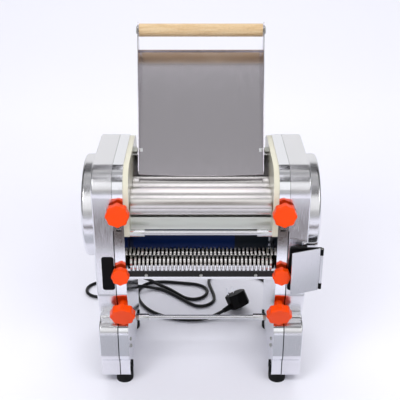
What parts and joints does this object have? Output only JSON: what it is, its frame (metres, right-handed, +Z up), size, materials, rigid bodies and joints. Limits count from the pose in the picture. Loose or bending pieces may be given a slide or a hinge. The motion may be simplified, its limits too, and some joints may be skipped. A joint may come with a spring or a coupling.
{
  "type": "electric pasta maker",
  "caption": "Table top electric pasta maker with a sheet roller pair, a noodle cutter pair, orange gap and clamp knobs, a folded feed chute, a wooden rod and a motor.",
  "frame": {"origin": "centre of the machine's footprint, on the table top", "axes": "+Z up, +X to the machine's right as seen from the front, the front with the knobs faces -Y"},
  "size_m": [0.4655, 0.4337, 0.6116],
  "materials": {
    "cream_cast": "cream gloss enamel on cast metal",
    "polished_stainless": "polished stainless sheet",
    "brushed_stainless": "brushed stainless sheet",
    "roller_steel": "ground steel",
    "cutter_steel": "bright plated steel",
    "zinc_steel": "zinc plated steel",
    "chrome_rod": "chrome plated steel",
    "aluminium_bar": "extruded aluminium",
    "black_steel": "black painted steel",
    "motor_blue": "dark blue gloss paint",
    "cowl_grey": "dark slate paint",
    "black_plastic": "black moulded plastic",
    "orange_plastic": "glossy orange moulded plastic",
    "black_rubber": "black rubber",
    "cord_rubber": "black cord sheath",
    "bronze": "sintered bronze",
    "pin_brass": "nickel plated brass",
    "beech": "turned clear wood, light varnish"
  },
  "bodies": {
    "housing": {"left_roller_frame": "cream_cast", "right_roller_frame": "cream_cast", "left_gear_case": "polished_stainless", "right_gear_case": "polished_stainless", "left_outer_cover": "brushed_stainless", "right_outer_cover": "brushed_stainless", "rubber_feet": "black_rubber", "front_tie_rod": "chrome_rod", "tie_rods": "chrome_rod", "tie_rod_sleeves": "chrome_rod", "tie_rod_nuts": "zinc_steel", "lower_rod_nuts": "zinc_steel", "scraper_bars": "aluminium_bar", "comb_bar": "black_steel", "cutter_comb": "cutter_steel", "comb_rail": "chrome_rod", "comb_screws": "zinc_steel", "rear_cover": "brushed_stainless", "motor_body": "motor_blue", "motor_fan_cowl": "cowl_grey", "terminal_box": "black_plastic", "switch_box": "black_plastic", "left_blanking_panel": "black_plastic", "cord_gland": "black_plastic", "mains_cord": "cord_rubber", "mains_plug": "black_plastic", "plug_pins": "pin_brass", "gear_studs": "zinc_steel", "roller_bushes": "bronze", "cutter_bushes": "bronze", "case_screws": "zinc_steel", "chute_pivot_bolts": "zinc_steel", "guard_hinge_pin": "zinc_steel", "knob_studs": "zinc_steel"},
    "motor": {"motor_shaft": "zinc_steel"},
    "reduction": {"reduction_gear": "zinc_steel"},
    "rear_roll": {"rear_roller": "roller_steel", "roller_drive_gear": "zinc_steel", "rear_roller_gear": "zinc_steel"},
    "carriage": {"roller_blocks": "bronze"},
    "front_roll": {"front_roller": "roller_steel", "front_roller_gear": "zinc_steel"},
    "idler": {"idler_gear": "zinc_steel"},
    "rear_cut": {"rear_cutter": "cutter_steel", "rear_cutter_gear": "zinc_steel"},
    "front_cut": {"front_cutter": "cutter_steel", "front_cutter_gear": "zinc_steel"},
    "left_gap": {"left_gap_knob": "orange_plastic", "left_gap_screw": "zinc_steel"},
    "right_gap": {"right_gap_knob": "orange_plastic", "right_gap_screw": "zinc_steel"},
    "left_clamp": {"left_clamp_knob": "orange_plastic"},
    "right_clamp": {"right_clamp_knob": "orange_plastic"},
    "left_base": {"left_base_knob": "orange_plastic"},
    "right_base": {"right_base_knob": "orange_plastic"},
    "chute": {"feed_chute": "polished_stainless", "rod_screws": "zinc_steel"},
    "rod": {"wooden_rod": "beech"},
    "guard": {"switch_guard": "brushed_stainless"},
    "rocker": {"switch_rocker": "black_plastic"}
  },
  "joints": [
    {"name": "motor_spin", "type": "hinge", "parent": "housing", "child": "motor", "pos_m": [0, 0.016, 0.24], "axis": [1, 0, 0], "continuous": true},
    {"name": "reduction_spin", "type": "hinge", "parent": "housing", "child": "reduction", "pos_m": [0, -0.02494, 0.28656], "axis": [1, 0, 0], "continuous": true},
    {"name": "rear_roller_spin", "type": "hinge", "parent": "housing", "child": "rear_roll", "pos_m": [0, -0.0335, 0.352], "axis": [1, 0, 0], "continuous": true},
    {"name": "front_roller_spin", "type": "hinge", "parent": "carriage", "child": "front_roll", "pos_m": [0, -0.0845, 0.352], "axis": [1, 0, 0], "continuous": true},
    {"name": "idler_spin", "type": "hinge", "parent": "housing", "child": "idler", "pos_m": [0, -0.04393, 0.28683], "axis": [1, 0, 0], "continuous": true},
    {"name": "rear_cutter_spin", "type": "hinge", "parent": "housing", "child": "rear_cut", "pos_m": [0, -0.069, 0.239], "axis": [1, 0, 0], "continuous": true},
    {"name": "front_cutter_spin", "type": "hinge", "parent": "housing", "child": "front_cut", "pos_m": [0, -0.096, 0.239], "axis": [1, 0, 0], "continuous": true},
    {"name": "left_gap_turn", "type": "hinge", "parent": "housing", "child": "left_gap", "pos_m": [-0.13825, -0.134, 0.356], "axis": [0, -1, 0], "range_deg": [0, 720]},
    {"name": "right_gap_turn", "type": "hinge", "parent": "housing", "child": "right_gap", "pos_m": [0.13825, -0.134, 0.356], "axis": [0, -1, 0], "range_deg": [0, 720]},
    {"name": "gap_slide", "type": "slide", "parent": "housing", "child": "carriage", "axis": [0, -1, 0], "range_m": [0, 0.00238]},
    {"name": "left_clamp_turn", "type": "hinge", "parent": "housing", "child": "left_clamp", "pos_m": [-0.13825, -0.134, 0.239], "axis": [0, -1, 0], "range_deg": [0, 180]},
    {"name": "right_clamp_turn", "type": "hinge", "parent": "housing", "child": "right_clamp", "pos_m": [0.13825, -0.134, 0.239], "axis": [0, -1, 0], "range_deg": [0, 180]},
    {"name": "left_base_turn", "type": "hinge", "parent": "housing", "child": "left_base", "pos_m": [-0.13825, -0.12286, 0.1628], "axis": [0, -0.9417, -0.3363], "range_deg": [0, 180]},
    {"name": "right_base_turn", "type": "hinge", "parent": "housing", "child": "right_base", "pos_m": [0.13825, -0.12286, 0.1628], "axis": [0, -0.9417, -0.3363], "range_deg": [0, 180]},
    {"name": "chute_tilt", "type": "hinge", "parent": "housing", "child": "chute", "pos_m": [0, -0.00494, 0.41597], "axis": [-1, 0, 0], "range_deg": [-4, 24]},
    {"name": "rod_spin", "type": "hinge", "parent": "chute", "child": "rod", "pos_m": [0, 0.14341, 0.59666], "axis": [1, 0, 0], "continuous": true},
    {"name": "guard_swing", "type": "hinge", "parent": "housing", "child": "guard", "pos_m": [0.205, -0.141, 0.2515], "axis": [0, 0, 1], "range_deg": [-6, 80]},
    {"name": "switch_rock", "type": "hinge", "parent": "housing", "child": "rocker", "pos_m": [0.16, -0.13, 0.238], "axis": [1, 0, 0], "range_deg": [-8, 8]}
  ],
  "couplings": [
    {"joint": "reduction_spin", "follows": "motor_spin", "ratio": -0.24},
    {"joint": "rear_roller_spin", "follows": "motor_spin", "ratio": 0.0768},
    {"joint": "front_roller_spin", "follows": "motor_spin", "ratio": -0.0768},
    {"joint": "idler_spin", "follows": "motor_spin", "ratio": -0.048356},
    {"joint": "rear_cutter_spin", "follows": "motor_spin", "ratio": 0.14507},
    {"joint": "front_cutter_spin", "follows": "motor_spin", "ratio": -0.14507},
    {"joint": "left_gap_turn", "follows": "gap_slide", "rad_per_m": 5236},
    {"joint": "right_gap_turn", "follows": "gap_slide", "rad_per_m": 5236}
  ]
}
